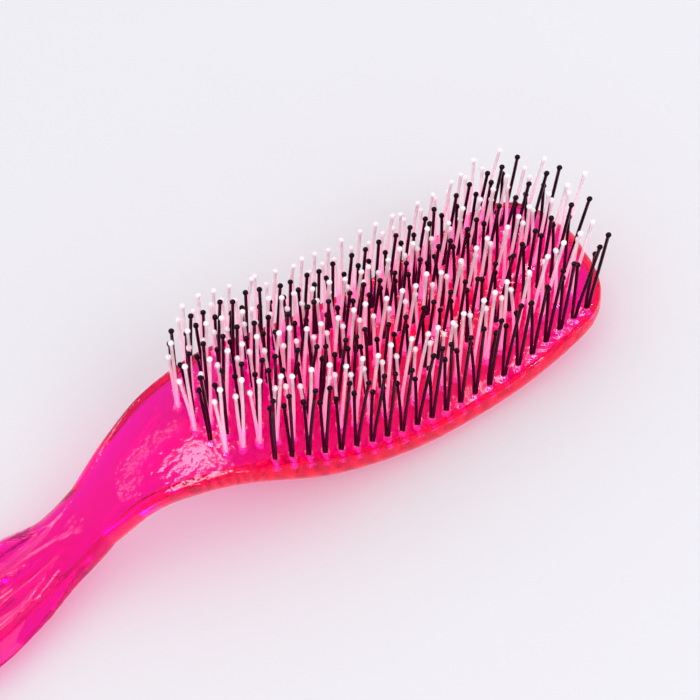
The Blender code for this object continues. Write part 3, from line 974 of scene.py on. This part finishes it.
# the black's wine tint and its reddish foot light are painted pink light from the body
black = nylon("glossy_black_nylon", dark=(0.008, 0.001, 0.004), light=(0.016, 0.003, 0.009),
              roughness=0.07, rubbed_roughness=0.18, gloss=0.05, scatter=0.0, shaft_alpha=1.0,
              own_light=1.0, foot_light=(0.03, 0.0, 0.008), tip_light=(0, 0, 0))
white = nylon("milky_white_nylon", dark=(0.84, 0.82, 0.83), light=(0.92, 0.9, 0.91),
              roughness=0.2, rubbed_roughness=0.35, gloss=0.5, scatter=1.0, shaft_alpha=0.52,
              own_light=0.8, foot_light=(0.95, 0.03, 0.28), tip_light=(0.2, 0.1, 0.13))
print("nylons:", black.name, white.name)

# %% [markdown]
# ## Mounting
# Each piece gets its finish, rides on the brush's one body, and replaces the CAD nodes that it
# stands for. The rows are black and white in turn, from the near edge on.

# %% Finish and mount the pieces
body.data.materials.clear()
body.data.materials.append(pink)
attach(body, "root")
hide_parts("brush_body")
for number, piece in enumerate(row_pieces):
    finish, slot = (black, "black_nylon") if number % 2 == 0 else (white, "white_nylon")
    piece.data.materials.clear()
    piece.data.materials.append(finish)
    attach(piece, "root")
    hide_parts(*[f"pin_row_{number + 1}_{part}" for part in ("rear", "middle", "front")])
print("pieces:", 1 + len(row_pieces))

# %% [markdown]
# ## The table
# A pale, slightly cool sheet under the brush takes the pink glow that comes through the body. It
# is matt, because a glossy one would mirror the strip lamps as white bands in low views.

# %% Floor
bpy.ops.object.select_all(action="DESELECT")
bpy.ops.mesh.primitive_plane_add(size=6, location=(0, 0, -0.02 * MM))
floor = bpy.context.object
floor.name = "table_sheet"
sheet, tree, shader = new_material("pale_sheet")
set_inputs(shader, Roughness=0.9, Specular_IOR_Level=0.05)
where = add(tree, "ShaderNodeTexCoord")
cloudy = add(tree, "ShaderNodeTexNoise", Scale=3.0, Detail=2.0)
tone = colour_mix(tree, (0.865, 0.858, 0.885), first=(0.85, 0.843, 0.87))
wire(tree, (where, "Object", cloudy, "Vector"), (cloudy, "Fac", tone, "Factor"),
     (tone, COLOUR_OUT, shader, "Base Color"))
floor.data.materials.append(sheet)
print("floor size, m:", floor.dimensions.x)

# %% [markdown]
# ## Light
# The photograph seems to be lit softly from all sides, a little more from the near side, and the
# brush throws hardly a shadow, only a pink glow. One large lamp could not do that, so a plain
# white sky and a soft box at the near side light the brush here. What shows the form of clear
# plastic is what it mirrors and bends. Four more lamps are there for that alone: one for the pale
# patch on the shoulder, and three strips for the streaks on the neck and the glints on the rim
# and the flutes. Matt surfaces don't see them, so they add no light to the table.

# %% Lamps
lamp_distance = 2.0
lamps = (
    # name, azimuth, elevation, size along X and across it, level, skips matt surfaces
    ("shoulder_lamp", 95, 71, (1.4, 0.3), 1.0, True),
    ("neck_strip", 118, 47, (1.4, 0.1), 0.06, True),
    ("near_strip", -98, 71, (1.4, 0.14), 0.36, True),
    ("far_strip", 98, 28, (2.0, 0.2), 0.1, True),
    ("near_softbox", -68, 42, (0.9, 0.9), 0.15, False),
)


def hang_lamp(name, azimuth, elevation, size, level, skips_matt):
    """A soft light aimed at the brush; level is what it would add to a white table."""
    toward = Vector((cos(radians(azimuth)) * cos(radians(elevation)),
                     sin(radians(azimuth)) * cos(radians(elevation)), sin(radians(elevation))))
    light = bpy.data.lights.new(name, "AREA")
    light.shape = "RECTANGLE"
    light.size, light.size_y = size
    light.energy = level * pi * pi * lamp_distance * lamp_distance / sin(radians(elevation))
    item = bpy.data.objects.new(name, light)
    item.visible_transmission = skips_matt
    item.visible_diffuse = not skips_matt
    along = Vector((1, 0, 0))
    along = (along - toward * along.dot(toward)).normalized()
    turn = Matrix((along, toward.cross(along), toward)).transposed().to_4x4()
    item.matrix_world = Matrix.Translation(toward * lamp_distance) @ turn
    bpy.context.scene.collection.objects.link(item)


for lamp in lamps:
    hang_lamp(*lamp)

# %% [markdown]
# ## The sky
# The sky is white overhead and greyer at the horizon, and its near side is brighter than its far
# side. Its strength is read from the direction alone: Z for the height, and Y for near and far.

# %% World
horizon_level, overhead_level, side_level = 0.76, 1.0, 0.24
world = bpy.data.worlds.new("studio")
world.use_nodes = True
world.cycles.sampling_method = "NONE"
tree = world.node_tree
sky = set_inputs(tree.nodes["Background"], Color=(0.97, 0.97, 1.0, 1))
where = add(tree, "ShaderNodeTexCoord")
apart = add(tree, "ShaderNodeSeparateXYZ")
by_height = map_range(tree, 0.0, 1.0, horizon_level, overhead_level)
by_side = map_range(tree, -1.0, 1.0, side_level, -side_level)
total = add(tree, "ShaderNodeMath", operation="ADD")
wire(tree, (where, "Generated", apart, "Vector"), (apart, "Z", by_height, "Value"),
     (apart, "Y", by_side, "Value"), (by_height, "Result", total, 0),
     (by_side, "Result", total, 1), (total, "Value", sky, "Strength"))
bpy.context.scene.world = world
print("world:", world.name)

# %% [markdown]
# ## Camera
# It stands in front of the brush's near side and looks down at it, so that the rows run up to
# the right and the grip leaves the picture at the lower left. Its place and turn were fitted to
# the rows of pins and to the outline of the head.

# %% Camera
stand = Vector((-0.028413, -0.251165, 0.36504))
right = Vector((0.850527, -0.4887, -0.194603)).normalized()
up = Vector((0.503299, 0.6486, 0.57094))
back = right.cross(up).normalized()
up = back.cross(right)
turn = Matrix((right, up, back)).transposed().to_4x4()
camera = bpy.data.objects.new("camera", bpy.data.cameras.new("camera"))
camera.data.lens, camera.data.sensor_width = 92.6, 36
camera.data.clip_start, camera.data.clip_end = 0.01, 20
camera.matrix_world = Matrix.Translation(stand) @ turn
bpy.context.scene.collection.objects.link(camera)
bpy.context.scene.camera = camera
bpy.context.scene.view_settings.view_transform = "Standard"
print("camera height, m:", round(camera.location.z, 3))
